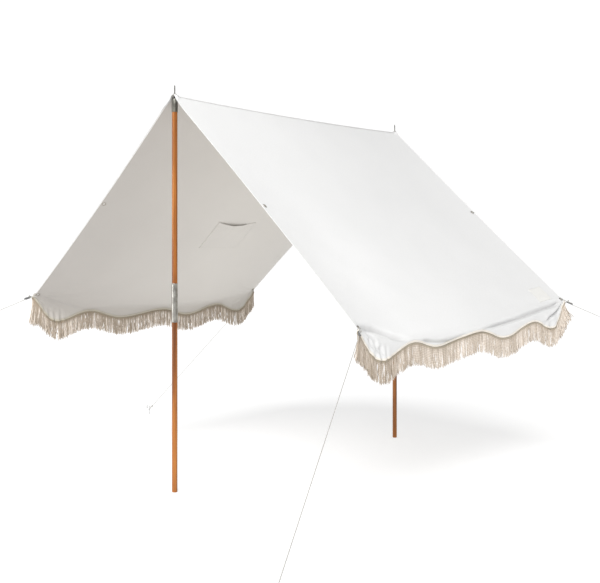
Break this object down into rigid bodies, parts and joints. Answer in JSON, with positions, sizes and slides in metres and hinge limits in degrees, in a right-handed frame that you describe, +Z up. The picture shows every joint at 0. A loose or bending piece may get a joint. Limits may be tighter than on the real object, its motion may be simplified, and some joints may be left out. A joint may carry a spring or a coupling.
{
  "type": "beach tent",
  "caption": "Open-ended ridge canopy of white canvas on two jointed wooden poles, with scalloped fringed eaves, eyelets, an inner pocket and four guy lines to ground pegs.",
  "frame": {"origin": "on the ground midway between the two pole feet, which is also the middle of the pegs' outline", "axes": "+Z up, +Y from the front pole to the rear pole along the ridge, +X to the right seen from the front"},
  "size_m": [5.1801, 5.3456, 2.05],
  "materials": {
    "canvas": "plain woven cotton canvas, off-white",
    "patch": "natural cotton patch, blank",
    "fringe_tape": "woven cotton tape, cream",
    "fringe": "twisted cotton fringe, natural",
    "pole_wood": "oiled hardwood, straight grain",
    "pole_steel": "dull galvanised",
    "eyelet": "dull",
    "rope": "twisted cotton cord, white",
    "tensioner": "matt dark grey",
    "peg": "galvanised"
  },
  "bodies": {
    "root": {"canopy_left": "canvas", "canopy_right": "canvas", "valance_left": "canvas", "valance_right": "canvas", "ridge_band": "canvas", "side_hem_front_left": "canvas", "side_hem_front_right": "canvas", "side_hem_rear_left": "canvas", "side_hem_rear_right": "canvas", "pocket": "canvas", "blank_patch": "patch", "fringe_tape_left": "fringe_tape", "fringe_tape_right": "fringe_tape", "fringe_left": "fringe", "fringe_right": "fringe", "corner_eyelet_front_left": "eyelet", "corner_eyelet_front_right": "eyelet", "corner_eyelet_rear_left": "eyelet", "corner_eyelet_rear_right": "eyelet", "edge_eyelet_front_left": "eyelet", "edge_eyelet_front_right": "eyelet", "edge_eyelet_rear_left": "eyelet", "edge_eyelet_rear_right": "eyelet", "ridge_eyelet_front": "eyelet", "ridge_eyelet_rear": "eyelet", "front_pole_lower": "pole_wood", "front_pole_upper": "pole_wood", "rear_pole_lower": "pole_wood", "rear_pole_upper": "pole_wood", "front_pole_sleeve": "pole_steel", "front_pole_tip": "pole_steel", "rear_pole_sleeve": "pole_steel", "rear_pole_tip": "pole_steel", "guy_line_front_left": "rope", "guy_line_front_right": "rope", "guy_line_rear_left": "rope", "guy_line_rear_right": "rope", "tensioner_front_left": "tensioner", "tensioner_front_right": "tensioner", "tensioner_rear_left": "tensioner", "tensioner_rear_right": "tensioner", "peg_front_left": "peg", "peg_front_right": "peg", "peg_rear_left": "peg", "peg_rear_right": "peg"}
  },
  "joints": []
}
